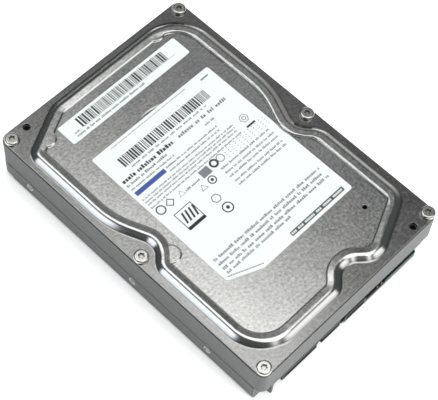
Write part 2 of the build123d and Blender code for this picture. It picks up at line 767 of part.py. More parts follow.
# ---- latch -----------------------------------------------------------------
with BuildPart() as latch_pin:
    with BuildSketch(Plane.XY.offset(bay_floor)):
        with Locations(latch_xy):
            Circle(0.9)
    extrude(amount=10)
    with BuildSketch(Plane.XY.offset(bay_floor)):
        with Locations(latch_xy):
            Circle(1.8)
    extrude(amount=5.4)
save(latch_pin.part, "latch_pin")

hook, weight = (-35.2, -55.0), (-28.7, -64.2)
with BuildPart() as latch_lever:
    with BuildSketch(Plane.XY.offset(fork_z)):
        with Locations(latch_xy):
            Circle(2.2)
        with Locations(weight):
            Circle(1.9)
        for end in (hook, weight):
            reach = ((end[0] - latch_xy[0]) ** 2 + (end[1] - latch_xy[1]) ** 2) ** 0.5
            middle = ((end[0] + latch_xy[0]) / 2, (end[1] + latch_xy[1]) / 2)
            turn = degrees(atan2(end[1] - latch_xy[1], end[0] - latch_xy[0]))
            with Locations(Location(middle + (0,), turn)):
                SlotCenterToCenter(reach, 1.6)
    extrude(amount=fork_h)
    with BuildSketch(Plane.XY.offset(fork_z)):
        with Locations(latch_xy):
            Circle(0.95)
    extrude(amount=fork_h, mode=Mode.SUBTRACT)
save(latch_lever.part, "latch_lever")

# ---- ramp, flex circuit, filters -------------------------------------------
with BuildPart() as parking_ramp:
    with BuildSketch(Plane.XY.offset(bay_floor)):
        ring_sector(pivot, 49.5, 54.5, 12, 19.5)
    extrude(amount=11)
    with BuildSketch(Plane.XY.offset(bay_floor)):
        ring_sector(pivot, 49.5, 54.5, 5.5, 12)
    extrude(amount=2.4)
    for z in (12.18, 16.45):
        with BuildSketch(Plane.XY.offset(z)):
            ring_sector(pivot, 48.9, 51.0, 19, 24.5)
        extrude(amount=2.1)
    with BuildSketch(Plane.XY.offset(bay_floor)):
        with Locations(polar(pivot, 52, 8.6)):
            Circle(0.85)
    extrude(amount=3, mode=Mode.SUBTRACT)
save(parking_ramp.part, "parking_ramp")

with BuildPart() as head_connector:
    with BuildSketch(Plane.XY.offset(board_z + board_t)):
        with Locations((22, -50)):
            Rectangle(18, 5)
    extrude(amount=bay_floor - board_z - board_t)
save(head_connector.part, "head_connector")

with BuildPart() as flex_bracket:
    with BuildSketch(Plane.XY.offset(bay_floor)):
        with Locations((22, -50)):
            RectangleRounded(25, 10, 2)
        with Locations((12.2, -50), (31.8, -50)):
            Circle(0.85, mode=Mode.SUBTRACT)
    extrude(amount=1.6)
    with BuildSketch(Plane.XY.offset(bay_floor + 1.6)):
        with Locations((16, -45.6)):
            Rectangle(8, 1.2)
    extrude(amount=10.4)
save(flex_bracket.part, "flex_bracket")

screw_seats = [(polar(pivot, 52, 8.6), bay_floor + 2.4, 3.9), ((12.2, -50), bay_floor + 1.6, 3.1),
               ((31.8, -50), bay_floor + 1.6, 3.1), (separator_lugs[0], 16.0, 4.0),
               (separator_lugs[1], 16.0, 4.0)]
with BuildPart() as internal_screws:
    for at, seat, reach in screw_seats:
        with BuildSketch(Plane.XY.offset(seat)):
            with Locations(at):
                Circle(1.5)
        extrude(amount=0.9)
        with BuildSketch(Plane.XY.offset(seat + 0.9)):
            with Locations(at):
                Circle(0.75)
        extrude(amount=-0.5, mode=Mode.SUBTRACT)
        with BuildSketch(Plane.XY.offset(seat)):
            with Locations(at):
                Circle(0.75)
        extrude(amount=-reach)
save(internal_screws.part, "internal_screws")

ribbon_end = polar(pivot, 7.2, parked - 88)
with BuildPart() as flex_cable:
    with BuildSketch(Plane.XY.offset(11)):
        with BuildLine() as path:
            loop = Spline(ribbon_end, (-4.2, -46.5), (3.5, -52.2), (10.0, -46.6), (12.0, -44.7),
                          tangents=[(-0.25, -1), (1, 0.35)])
            Line(loop @ 1, (20.0, -44.7))
        trace(line_width=0.16)
    extrude(amount=8)
save(flex_cable.part, "flex_cable")

with BuildPart() as recirculation_filter:
    with BuildSketch(Plane.XY.offset(bowl_floor)):
        with Locations(Location(polar(spindle, 52.2, 45) + (0,), 45)):
            RectangleRounded(4.4, 12.4, 1)
    extrude(amount=13.4)
save(recirculation_filter.part, "recirculation_filter")

with BuildPart() as air_separator:
    with BuildSketch(Plane.XY.offset(14.8)):
        ring_sector(spindle, 19, 47.8, 98, 168)
        ring_sector(spindle, 47, 51.5, 115, 139)
        with Locations(separator_lugs):
            Circle(0.85, mode=Mode.SUBTRACT)
    extrude(amount=1.2)
save(air_separator.part, "air_separator")

with BuildPart() as desiccant_pack:
    with BuildSketch(Plane.XY.offset(bay_floor)):
        with Locations((39.4, -39.5)):
            RectangleRounded(9, 17, 2)
    extrude(amount=8)
    fillet(desiccant_pack.faces().sort_by(Axis.Z)[-1].edges(), 1.2)
save(desiccant_pack.part, "desiccant_pack")
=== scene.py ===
"""Looks of the hard disk drive: studio, camera, materials and the small pieces that ride on it."""

import math
import random

import bmesh
import bpy
from mathutils import Matrix, Vector


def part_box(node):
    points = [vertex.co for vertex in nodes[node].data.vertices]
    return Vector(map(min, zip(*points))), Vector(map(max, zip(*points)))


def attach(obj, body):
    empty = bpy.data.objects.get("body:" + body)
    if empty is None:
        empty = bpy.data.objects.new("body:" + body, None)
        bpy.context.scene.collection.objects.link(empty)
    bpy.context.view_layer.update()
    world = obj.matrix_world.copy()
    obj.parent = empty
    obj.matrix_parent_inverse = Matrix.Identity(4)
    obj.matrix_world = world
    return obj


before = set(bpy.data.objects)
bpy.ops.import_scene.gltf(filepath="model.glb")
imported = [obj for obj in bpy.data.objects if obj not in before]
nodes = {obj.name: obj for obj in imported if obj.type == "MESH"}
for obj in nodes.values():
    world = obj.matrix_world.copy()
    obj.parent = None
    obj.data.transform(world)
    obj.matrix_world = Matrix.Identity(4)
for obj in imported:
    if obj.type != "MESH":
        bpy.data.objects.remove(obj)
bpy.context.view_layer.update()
scene = bpy.context.scene
scene.view_settings.view_transform = "Standard"
MM = 0.001

# millimetres: the side holes along the length, their height, and how far the bare metal with its painted
# highlight reaches round them
BORE_Y, BORE_Z, BARE_AND_GLINT_RADIUS = (-45.0, -3.4, 56.6), 6.35, 1.6
# millimetres: the cover's colour carries painted shade on its flange below the first height and none on its
# panel above the second
PAINTED_SHADE_BELOW, UNSHADED_ABOVE = 24.6, 25.3

# ---- camera ----------------------------------------------------------------
eye = Vector((-0.22427, -0.18984, 0.51211))
ahead = Vector((0.38442, 0.32208, -0.86515)).normalized()
right = Vector((0.69754, -0.71522, 0.04368)).normalized()
lens = bpy.data.cameras.new("camera")
lens.lens, lens.sensor_width = 117.25, 36
lens.clip_start, lens.clip_end = 0.01, 20
camera = bpy.data.objects.new("camera", lens)
turned = Matrix((right, right.cross(ahead), -ahead)).transposed()
camera.matrix_world = Matrix.Translation(eye) @ turned.to_4x4()
scene.collection.objects.link(camera)
scene.camera = camera


# ---- studio ----------------------------------------------------------------
def studio():
    """Pale backdrop, with soft lights that show in the metal as smooth patches."""
    world = bpy.data.worlds.new("studio")
    world.use_nodes = True
    scene.world = world
    tree = world.node_tree
    make, link = tree.nodes.new, tree.links.new
    tree.nodes.clear()
    place = make("ShaderNodeTexCoord")
    fill = make("ShaderNodeBackground")
    fill.inputs["Color"].default_value = (0.92, 0.97, 1, 1)
    fill.inputs["Strength"].default_value = 0.09
    total = fill.outputs[0]
    patches = [
        # colour, strength, then the patch's limits: direction, inner and outer angle in degrees
        ((1.0, 1.0, 0.985), 1.85, ((-0.34, -0.015, 0.94), 40, 47.6), ((1, 0, 0), 93, 104)),
        ((1.0, 1.0, 1.0), 0.15, ((0.38, 0.42, 0.82), 4, 13)),
        ((0.84, 0.92, 1.0), 1.7, ((-0.66, 0.32, 0.68), 9, 17)),
        ((1.0, 1.0, 1.0), 1.3, ((0.38, -0.74, 0.56), 9, 20)),
        ((1.0, 0.97, 0.92), 0.24, ((0.93, 0.34, 0.10), 14, 34)),
    ]
    for colour, strength, *limits in patches:
        inside = None
        for direction, inner, outer in limits:
            facing = make("ShaderNodeVectorMath")
            facing.operation = "DOT_PRODUCT"
            facing.inputs[1].default_value = Vector(direction).normalized()
            link(place.outputs["Generated"], facing.inputs[0])
            edge = make("ShaderNodeMapRange")
            edge.interpolation_type = "SMOOTHSTEP"
            edge.inputs["From Min"].default_value = math.cos(math.radians(outer))
            edge.inputs["From Max"].default_value = math.cos(math.radians(inner))
            link(facing.outputs["Value"], edge.inputs["Value"])
            if inside:
                link(inside, edge.inputs["To Max"])
            inside = edge.outputs[0]
        patch = make("ShaderNodeBackground")
        patch.inputs["Color"].default_value = [strength * c for c in colour] + [1]
        link(inside, patch.inputs["Strength"])
        both = make("ShaderNodeAddShader")
        link(total, both.inputs[0])
        link(patch.outputs[0], both.inputs[1])
        total = both.outputs[0]
    backdrop = make("ShaderNodeBackground")
    backdrop.inputs["Strength"].default_value = 1.0
    backdrop.inputs["Color"].default_value = (1, 1, 1, 1)
    path = make("ShaderNodeLightPath")
    seen = make("ShaderNodeMixShader")
    link(path.outputs["Is Camera Ray"], seen.inputs[0])
    link(total, seen.inputs[1])
    link(backdrop.outputs[0], seen.inputs[2])
    link(seen.outputs[0], make("ShaderNodeOutputWorld").inputs[0])


def softbox(name, place, size, power):
    """A soft round lamp aimed at the origin, unseen in reflections and by the camera."""
    light = bpy.data.lights.new(name, "AREA")
    light.shape, light.size, light.energy = "DISK", size, power
    lamp = bpy.data.objects.new(name, light)
    lamp.location = place
    lamp.rotation_euler = Vector(place).to_track_quat("Z", "Y").to_euler()
    lamp.visible_glossy = False
    lamp.visible_camera = False
    scene.collection.objects.link(lamp)


studio()
softbox("overhead", (0.1, 0.2, 1.2), 1.0, 6.5)
softbox("front", (0.2, -1.0, 0.3), 0.5, 10.5)
softbox("below", (0.15, -0.5, -0.9), 0.8, 5)


# ---- materials -------------------------------------------------------------
def surface(name, light, dark, grain=900, stretch=(1, 1, 1), rough=(0.35, 0.5), bump=0.25, depth=0.02,
            patch=0.35, wear=None, rounding=0.0, build=None, **sockets):
    """Two tones of grain, a roughness that follows it, a fine relief and worn edges."""
    mat = bpy.data.materials.new(name)
    mat.use_nodes = True
    tree = mat.node_tree
    make, link = tree.nodes.new, tree.links.new
    bsdf = tree.nodes["Principled BSDF"]
    place = make("ShaderNodeTexCoord")
    spread = make("ShaderNodeMapping")
    spread.inputs["Scale"].default_value = stretch
    link(place.outputs["Object"], spread.inputs[0])
    fine, broad = make("ShaderNodeTexNoise"), make("ShaderNodeTexNoise")
    fine.inputs["Scale"].default_value = grain
    fine.inputs["Detail"].default_value = 6
    fine.inputs["Roughness"].default_value = 0.65
    broad.inputs["Scale"].default_value = grain * 0.13
    broad.inputs["Detail"].default_value = 3
    for noise in (fine, broad):
        link(spread.outputs[0], noise.inputs["Vector"])
    blend = make("ShaderNodeMix")
    blend.inputs["Factor"].default_value = patch
    link(fine.outputs["Fac"], blend.inputs["A"])
    link(broad.outputs["Fac"], blend.inputs["B"])
    tone = make("ShaderNodeValToRGB")
    tone.color_ramp.elements[0].position, tone.color_ramp.elements[1].position = 0.3, 0.7
    tone.color_ramp.elements[0].color = (*dark, 1)
    tone.color_ramp.elements[1].color = (*light, 1)
    link(blend.outputs["Result"], tone.inputs[0])
    colour = tone.outputs[0]
    gloss = make("ShaderNodeMapRange")
    gloss.inputs["From Min"].default_value, gloss.inputs["From Max"].default_value = 0.3, 0.7
    gloss.inputs["To Min"].default_value, gloss.inputs["To Max"].default_value = rough
    link(blend.outputs["Result"], gloss.inputs["Value"])
    relief = make("ShaderNodeBump")
    relief.inputs["Strength"].default_value = bump
    relief.inputs["Distance"].default_value = depth * MM
    link(fine.outputs["Fac"], relief.inputs["Height"])
    if rounding:
        soft = make("ShaderNodeBevel")
        soft.samples = 4
        soft.inputs["Radius"].default_value = rounding * MM
        link(soft.outputs[0], relief.inputs["Normal"])
        if wear:
            flat = make("ShaderNodeNewGeometry")
            facing = make("ShaderNodeVectorMath")
            facing.operation = "DOT_PRODUCT"
            link(soft.outputs[0], facing.inputs[0])
            link(flat.outputs["Normal"], facing.inputs[1])
            worn = make("ShaderNodeMapRange")
            worn.inputs["From Min"].default_value, worn.inputs["From Max"].default_value = 0.995, 0.93
            link(facing.outputs["Value"], worn.inputs["Value"])
            edge = make("ShaderNodeMix")
            edge.data_type = "RGBA"
            link(worn.outputs[0], edge.inputs["Factor"])
            link(colour, edge.inputs["A"])
            edge.inputs["B"].default_value = (*wear, 1)
            colour = edge.outputs["Result"]
    link(colour, bsdf.inputs["Base Color"])
    link(gloss.outputs[0], bsdf.inputs["Roughness"])
    link(relief.outputs[0], bsdf.inputs["Normal"])
    for socket, value in sockets.items():
        bsdf.inputs[socket.replace("_", " ")].default_value = value
    if build:
        build(tree, bsdf, place, tone, gloss)
    return mat


def polished_walls_and_flange_shade(tree, bsdf, place, tone, gloss):
    """The drawn walls of the cover are smoother than its flat panels, and its flange carries painted shade:
    its colour darkens below the panel's height.
    """
    make, link = tree.nodes.new, tree.links.new
    shape = make("ShaderNodeNewGeometry")
    up = make("ShaderNodeSeparateXYZ")
    link(shape.outputs["Normal"], up.inputs[0])
    flat = make("ShaderNodeMapRange")
    flat.inputs["From Min"].default_value, flat.inputs["From Max"].default_value = 0.93, 0.995
    link(up.outputs["Z"], flat.inputs["Value"])
    choose = make("ShaderNodeMix")
    link(flat.outputs[0], choose.inputs["Factor"])
    choose.inputs["A"].default_value = 0.16
    link(gloss.outputs[0], choose.inputs["B"])
    link(choose.outputs["Result"], bsdf.inputs["Roughness"])
    height = make("ShaderNodeSeparateXYZ")
    link(place.outputs["Object"], height.inputs[0])
    # painted shade: the cover's colour drops to 0.58 of its tone on the flange, below the panel's height
    flange_shade = make("ShaderNodeMapRange")
    flange_shade.inputs["From Min"].default_value = PAINTED_SHADE_BELOW * MM
    flange_shade.inputs["From Max"].default_value = UNSHADED_ABOVE * MM
    flange_shade.inputs["To Min"].default_value = 0.58
    link(height.outputs["Z"], flange_shade.inputs["Value"])
    shade = make("ShaderNodeMix")
    shade.data_type, shade.blend_type = "RGBA", "MULTIPLY"
    shade.inputs["Factor"].default_value = 1
    even = make("ShaderNodeMix")
    even.data_type = "RGBA"
    link(flat.outputs[0], even.inputs["Factor"])
    even.inputs["A"].default_value = (0.68, 0.68, 0.67, 1)
    link(tone.outputs[0], even.inputs["B"])
    link(even.outputs["Result"], shade.inputs["A"])
    link(flange_shade.outputs[0], shade.inputs["B"])
    link(shade.outputs["Result"], bsdf.inputs["Base Color"])
    smooth = make("ShaderNodeMapRange")
    smooth.inputs["To Min"].default_value, smooth.inputs["To Max"].default_value = 0.12, 0.6
    link(flat.outputs[0], smooth.inputs["Value"])
    link(smooth.outputs[0], bsdf.inputs["Normal"].links[0].from_node.inputs["Strength"])


def machined_bores_and_glints(tree, bsdf, place, tone, gloss):
    """The threads in the side walls are cut through the paint into bare metal; its near-white colour,
    reaching a little past the bore, is also a painted highlight for the glints at the holes.
    """
    make, link = tree.nodes.new, tree.links.new
    painted = bsdf.inputs["Base Color"].links[0].from_socket
    bare_and_glint = None
    for y in BORE_Y:
        level = make("ShaderNodeMapping")
        level.inputs["Location"].default_value = (0, -y * MM, -BORE_Z * MM)
        level.inputs["Scale"].default_value = (0, 1, 1)
        link(place.outputs["Object"], level.inputs[0])
        away = make("ShaderNodeVectorMath")
        away.operation = "LENGTH"
        link(level.outputs[0], away.inputs[0])
        bore = make("ShaderNodeMapRange")
        bore.inputs["From Min"].default_value = (BARE_AND_GLINT_RADIUS + 0.15) * MM
        bore.inputs["From Max"].default_value = BARE_AND_GLINT_RADIUS * MM
        link(away.outputs["Value"], bore.inputs["Value"])
        if bare_and_glint:
            link(bare_and_glint, bore.inputs["To Min"])
        bare_and_glint = bore.outputs[0]
    # bare metal in the bores, its near-white colour also a painted highlight for the glints at the holes
    bare_and_glint_colour = make("ShaderNodeMix")
    bare_and_glint_colour.data_type = "RGBA"
    link(bare_and_glint, bare_and_glint_colour.inputs["Factor"])
    link(painted, bare_and_glint_colour.inputs["A"])
    bare_and_glint_colour.inputs["B"].default_value = (0.9, 0.9, 0.89, 1)
    link(bare_and_glint_colour.outputs["Result"], bsdf.inputs["Base Color"])


def recess_painted_shade(top, deep):
    """Painted shade in the drive recess of a screw: the colour darkens by how enclosed it is."""
    def build(tree, bsdf, place, tone, gloss):
        make, link = tree.nodes.new, tree.links.new
        corners = make("ShaderNodeAmbientOcclusion")
        corners.samples = 8
        corners.inputs["Distance"].default_value = 1.2 * MM
        clear = make("ShaderNodeMapRange")
        clear.inputs["From Min"].default_value, clear.inputs["From Max"].default_value = deep, top
        link(corners.outputs["AO"], clear.inputs["Value"])
        # painted shade: the screw's colour turns near black where the recess encloses it
        recess_shade = make("ShaderNodeMix")
        recess_shade.data_type = "RGBA"
        recess_shade.inputs["A"].default_value = (0.07, 0.07, 0.068, 1)
        link(clear.outputs[0], recess_shade.inputs["Factor"])
        link(tone.outputs[0], recess_shade.inputs["B"])
        link(recess_shade.outputs["Result"], bsdf.inputs["Base Color"])
    return build


def copper_tracks(tree, bsdf, place, tone, gloss):
    """Tracks under the solder mask, a shade lighter than the board."""
    make, link = tree.nodes.new, tree.links.new
    cells = make("ShaderNodeTexVoronoi")
    cells.feature, cells.distance = "F2", "CHEBYCHEV"
    cells.inputs["Scale"].default_value = 170
    link(place.outputs["Object"], cells.inputs["Vector"])
    wave = make("ShaderNodeMath")
    wave.operation = "PINGPONG"
    wave.inputs[1].default_value = 0.09
    link(cells.outputs["Distance"], wave.inputs[0])
    line = make("ShaderNodeMapRange")
    line.inputs["From Min"].default_value, line.inputs["From Max"].default_value = 0.035, 0.05
    link(wave.outputs[0], line.inputs["Value"])
    mask = make("ShaderNodeMix")
    mask.data_type = "RGBA"
    mask.inputs["A"].default_value = (0.008, 0.036, 0.03, 1)
    link(line.outputs[0], mask.inputs["Factor"])
    link(tone.outputs[0], mask.inputs["B"])
    link(mask.outputs["Result"], bsdf.inputs["Base Color"])


def wound(axis_scale):
    """Relief of wire laid in turns round the spindle or the coil."""
    def build(tree, bsdf, place, tone, gloss):
        make, link = tree.nodes.new, tree.links.new
        turns = make("ShaderNodeTexWave")
        turns.bands_direction = "Z"
        turns.inputs["Scale"].default_value = axis_scale
        turns.inputs["Distortion"].default_value = 0.6
        link(place.outputs["Object"], turns.inputs["Vector"])
        relief = make("ShaderNodeBump")
        relief.inputs["Strength"].default_value = 0.7
        relief.inputs["Distance"].default_value = 0.08 * MM
        link(turns.outputs["Fac"], relief.inputs["Height"])
        link(relief.outputs[0], bsdf.inputs["Normal"])
    return build


steel = surface("cover_steel", (0.82, 0.82, 0.805), (0.52, 0.52, 0.51), grain=900, stretch=(0.75, 1, 1),
                rough=(0.13, 0.21), bump=0.6, depth=0.04, patch=0.2, rounding=0.45,
                build=polished_walls_and_flange_shade, Metallic=1.0)
casting = surface("painted_casting", (0.118, 0.122, 0.121), (0.082, 0.086, 0.085), grain=1500,
                  rough=(0.38, 0.52), bump=0.45, depth=0.04, rounding=0.35, wear=(0.30, 0.31, 0.31),
                  build=machined_bores_and_glints, Metallic=0.2)
screws = surface("screw_steel", (0.80, 0.79, 0.75), (0.60, 0.59, 0.56), grain=1800, rough=(0.16, 0.26),
                 bump=0.2, rounding=0.12, build=recess_painted_shade(0.8, 0.3), Metallic=1.0)
rubber = surface("black_rubber", (0.022, 0.022, 0.022), (0.01, 0.01, 0.01), grain=1500, rough=(0.65, 0.8))
paper = surface("label_film", (0.85, 0.90, 0.885), (0.82, 0.87, 0.855), grain=2200, rough=(0.38, 0.5),
                bump=0.15, depth=0.01, patch=0.6, Coat_Weight=0.15, Coat_Roughness=0.25)
filter_felt = surface("white_filter", (0.85, 0.85, 0.82), (0.6, 0.6, 0.58), grain=2500, rough=(0.8, 0.95),
                      bump=0.8, depth=0.08)
board = surface("board_laminate", (0.014, 0.062, 0.05), (0.009, 0.044, 0.036), grain=1800,
                rough=(0.22, 0.34), bump=0.2, rounding=0.1, build=copper_tracks)
# black foam: the board insulator's own colour; on the breather filter it is painted shade that darkens the
# breather hole in the cover
foam_and_hole_shade = surface("dark_foam", (0.05, 0.05, 0.052), (0.012, 0.012, 0.013), grain=2600, rough=(0.85, 0.95),
               bump=0.9, depth=0.12)
plastic = surface("black_plastic", (0.03, 0.031, 0.032), (0.014, 0.014, 0.015), grain=2200,
                  rough=(0.38, 0.52), bump=0.35, rounding=0.12)
gold = surface("gold_contact", (0.95, 0.72, 0.30), (0.80, 0.56, 0.20), grain=2200, rough=(0.18, 0.3),
               bump=0.15, Metallic=1.0)
epoxy = surface("chip_epoxy", (0.035, 0.035, 0.037), (0.018, 0.018, 0.019), grain=3200, rough=(0.48, 0.62),
                bump=0.5, rounding=0.08)
nickel = surface("nickel_can", (0.72, 0.71, 0.67), (0.56, 0.55, 0.52), grain=1500, rough=(0.2, 0.32),
                 bump=0.2, rounding=0.1, Metallic=1.0)
ferrite = surface("ferrite", (0.10, 0.10, 0.105), (0.05, 0.05, 0.053), grain=2400, rough=(0.5, 0.7),
                  bump=0.5)
tantalum = surface("capacitor_body", (0.72, 0.42, 0.10), (0.55, 0.30, 0.06), grain=2400, rough=(0.4, 0.55),
                   bump=0.3)
ceramic = surface("passive_ceramic", (0.50, 0.40, 0.29), (0.30, 0.23, 0.16), grain=1400, rough=(0.35, 0.5))
polyimide = surface("polyimide", (0.60, 0.26, 0.05), (0.42, 0.16, 0.03), grain=1200, rough=(0.25, 0.38),
                    bump=0.15)
bearing = surface("bearing_steel", (0.66, 0.65, 0.63), (0.5, 0.5, 0.49), grain=1600, stretch=(1, 1, 0.2),
                  rough=(0.16, 0.28), Metallic=1.0)
lamination = surface("lamination_steel", (0.34, 0.34, 0.35), (0.2, 0.2, 0.21), grain=1200,
                     stretch=(0.3, 0.3, 3), rough=(0.35, 0.5), bump=0.5, Metallic=0.9)
copper = surface("copper_wire", (0.85, 0.40, 0.18), (0.62, 0.25, 0.10), grain=1500, rough=(0.25, 0.4),
                 build=wound(1400), Metallic=1.0)
yoke = surface("yoke_nickel", (0.68, 0.66, 0.62), (0.5, 0.49, 0.46), grain=1000, rough=(0.22, 0.36),
               bump=0.25, rounding=0.2, Metallic=1.0)
magnet = surface("magnet_nickel", (0.74, 0.73, 0.70), (0.6, 0.59, 0.57), grain=1300, rough=(0.14, 0.26),
                 bump=0.15, rounding=0.15, Metallic=1.0)
ivory = surface("ivory_plastic", (0.78, 0.73, 0.60), (0.68, 0.63, 0.51), grain=1800, rough=(0.4, 0.52),
                bump=0.25, rounding=0.15)
aluminium = surface("bare_aluminium", (0.76, 0.77, 0.78), (0.6, 0.61, 0.62), grain=1400,
                    stretch=(1, 1, 0.3), rough=(0.24, 0.38), bump=0.3, rounding=0.12, Metallic=1.0)
mirror = surface("platter_mirror", (0.80, 0.79, 0.78), (0.76, 0.75, 0.74), grain=400, rough=(0.03, 0.06),
                 bump=0.02, Metallic=1.0)
blade = surface("blade_steel", (0.70, 0.69, 0.68), (0.55, 0.55, 0.54), grain=1700, stretch=(0.3, 1, 1),
                rough=(0.2, 0.34), Metallic=1.0)
slider = surface("slider_ceramic", (0.10, 0.09, 0.085), (0.05, 0.045, 0.043), grain=3000, rough=(0.25, 0.4))
ink_black = surface("ink_black", (0.05, 0.05, 0.055), (0.03, 0.03, 0.033), grain=2500, rough=(0.4, 0.55),
                    bump=0.1)
ink_grey = surface("ink_grey", (0.21, 0.24, 0.26), (0.15, 0.17, 0.19), grain=2500, rough=(0.4, 0.55),
                   bump=0.1)
ink_blue = surface("ink_blue", (0.055, 0.10, 0.38), (0.035, 0.07, 0.28), grain=2500, rough=(0.4, 0.55),
                   bump=0.1)
solder = surface("solder", (0.78, 0.78, 0.79), (0.6, 0.6, 0.61), grain=1500, rough=(0.22, 0.36),
                 Metallic=1.0)

finishes = {
    "base_casting": casting, "top_cover": steel, "cover_gasket": rubber, "cover_screws": screws,
    # the breather filter takes the black foam as painted shade in the breather hole
    "pivot_screw": screws, "main_label": paper, "serial_label": paper, "breather_filter": foam_and_hole_shade,
    "circuit_board": board, "board_insulator": foam_and_hole_shade, "board_screws": screws, "sata_housing": plastic,
    "sata_contacts": gold, "jumper_header": plastic, "jumper_pins": gold, "controller_chip": epoxy,
    "memory_chip": epoxy, "motor_driver_chip": epoxy, "quartz_crystal": nickel, "power_inductors": ferrite,
    "filter_capacitors": tantalum, "board_passives": ceramic, "motor_flex": polyimide,
    "bearing_sleeve": bearing, "stator_core": lamination, "stator_coils": copper, "lower_yoke": yoke,
    "upper_yoke": yoke, "lower_magnet": magnet, "upper_magnet": magnet, "yoke_posts": bearing,
    "crash_stops": rubber, "pivot_shaft": bearing, "latch_pin": bearing, "parking_ramp": ivory,
    "head_connector": plastic, "flex_bracket": aluminium, "internal_screws": screws,
    "flex_cable": polyimide, "recirculation_filter": filter_felt, "air_separator": aluminium,
    "desiccant_pack": filter_felt, "spindle_hub": aluminium, "spindle_shaft": bearing,
    "rotor_magnet": ferrite, "lower_platter": mirror, "upper_platter": mirror, "platter_spacer": aluminium,
    "disc_clamp": aluminium, "clamp_screws": screws, "arm_block": aluminium, "pivot_cartridge": bearing,
    "coil_frame": ivory, "voice_coil": copper, "head_suspensions": blade, "head_sliders": slider,
    "arm_flex": polyimide, "latch_lever": plastic,
}
for name, node in nodes.items():
    node.data.materials.clear()
    node.data.materials.append(finishes[name])


# ---- pieces ----------------------------------------------------------------
class Sheetwork:
    """Collects closed flat or block shapes, in millimetres, into one mesh."""

    def __init__(self, name, *materials):
        self.name, self.materials, self.mesh = name, materials, bmesh.new()

    def prism(self, points, z0, z1, ink=0):
        low = [self.mesh.verts.new((x * MM, y * MM, z0 * MM)) for x, y in points]
        high = [self.mesh.verts.new((x * MM, y * MM, z1 * MM)) for x, y in points]
        faces = [self.mesh.faces.new(low[::-1]), self.mesh.faces.new(high)]
        for i in range(len(points)):
            j = (i + 1) % len(points)
            faces.append(self.mesh.faces.new((low[i], low[j], high[j], high[i])))
        for face in faces:
            face.material_index = ink

    def block(self, x0, y0, x1, y1, z0, z1, ink=0):
        self.prism([(x0, y0), (x1, y0), (x1, y1), (x0, y1)], z0, z1, ink)

    def disc(self, x, y, r, z0, z1, ink=0, sides=20, turn=0.0):
        self.prism([(x + r * math.cos(a), y + r * math.sin(a)) for a in
                    [turn + 2 * math.pi * i / sides for i in range(sides)]], z0, z1, ink)

    def ring(self, x, y, r, width, z0, z1, ink=0, sides=24, start=0.0, sweep=360.0, turn=0.0):
        """A closed ring, or an open arc when sweep is under a full turn."""
        whole = sweep >= 360
        steps = sides if whole else sides + 1
        rows = []
        for i in range(steps):
            a = math.radians(start + sweep * i / sides)
            at = []
            for radius in (r - width / 2, r + width / 2):
                u, v = radius * math.cos(a), radius * math.sin(a)
                px = x + u * math.cos(turn) - v * math.sin(turn)
                py = y + u * math.sin(turn) + v * math.cos(turn)
                at += [(px, py, z0), (px, py, z1)]
            rows.append([self.mesh.verts.new((p * MM, q * MM, s * MM)) for p, q, s in at])
        faces = []
        for i in range(sides):
            a, b = rows[i], rows[(i + 1) % steps]
            for m, n in ((0, 1), (1, 3), (3, 2), (2, 0)):
                faces.append(self.mesh.faces.new((a[m], a[n], b[n], b[m])))
        if not whole:
            for row in (rows[0], rows[-1]):
                faces.append(self.mesh.faces.new((row[0], row[1], row[3], row[2])))
        for face in faces:
            face.material_index = ink

    def finish(self, body="enclosure"):
        bmesh.ops.recalc_face_normals(self.mesh, faces=self.mesh.faces)
        data = bpy.data.meshes.new(self.name)
        self.mesh.to_mesh(data)
        self.mesh.free()
        for material in self.materials:
            data.materials.append(material)
        piece = bpy.data.objects.new(self.name, data)
        scene.collection.objects.link(piece)
        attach(piece, body)
        return piece


def islands(node):
    """Plan rectangles, in millimetres, of the separate bodies in one node."""
    mesh = bmesh.new()
    mesh.from_mesh(node.data)
    bmesh.ops.remove_doubles(mesh, verts=mesh.verts, dist=1e-6)
    left, found = set(mesh.verts), []
    while left:
        stack, group = [left.pop()], []
        while stack:
            vert = stack.pop()
            group.append(node.matrix_world @ vert.co / MM)
            for edge in vert.link_edges:
                other = edge.other_vert(vert)
                if other in left:
                    left.remove(other)
                    stack.append(other)
        found.append((min(p.x for p in group), min(p.y for p in group),
                      max(p.x for p in group), max(p.y for p in group)))
    mesh.free()
    return sorted(found)


BLACK, GREY, BLUE, WHITE = 0, 1, 2, 3
label_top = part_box("main_label")[1].z / MM
ink_z = (label_top, label_top + 0.02)
rng = random.Random(11)


def words(sheet, x0, x1, y, tall, ink=GREY, gap=1.0):
    """A row of plain dashes in groups, standing for a line of print."""
    x = x0
    while x < x1 - tall * 0.5:
        left = rng.randint(2, 8)
        while left and x < x1 - tall * 0.4:
            wide = tall * rng.choice((0.38, 0.5, 0.62))
            high = tall * rng.choice((0.72, 0.72, 1.0))
            sheet.block(x, y - tall / 2, min(x + wide, x1), y - tall / 2 + high, *ink_z, ink)
            x += wide + tall * 0.2
            left -= 1
        x += tall * 0.55 * gap


def stripes(sheet, x0, x1, y0, y1):
    """Plain upright stripes of mixed widths."""
    x = x0
    while x < x1:
        wide = rng.choice((0.36, 0.36, 0.62, 0.9))
        sheet.block(x, y0, min(x + wide, x1), y1, *ink_z, BLACK)
        x += wide + rng.choice((0.36, 0.36, 0.6))


inks = (ink_black, ink_grey, ink_blue, paper)
serial = Sheetwork("serial_label_print", *inks)
stripes(serial, -23.0, 25.6, 53.6, 58.7)
words(serial, -27.5, -24.5, 53.5, 0.9)
serial.block(-23.0, 53.3, 29.2, 53.42, *ink_z, GREY)
words(serial, -27.5, 10, 51.8, 1.1)
serial.finish()

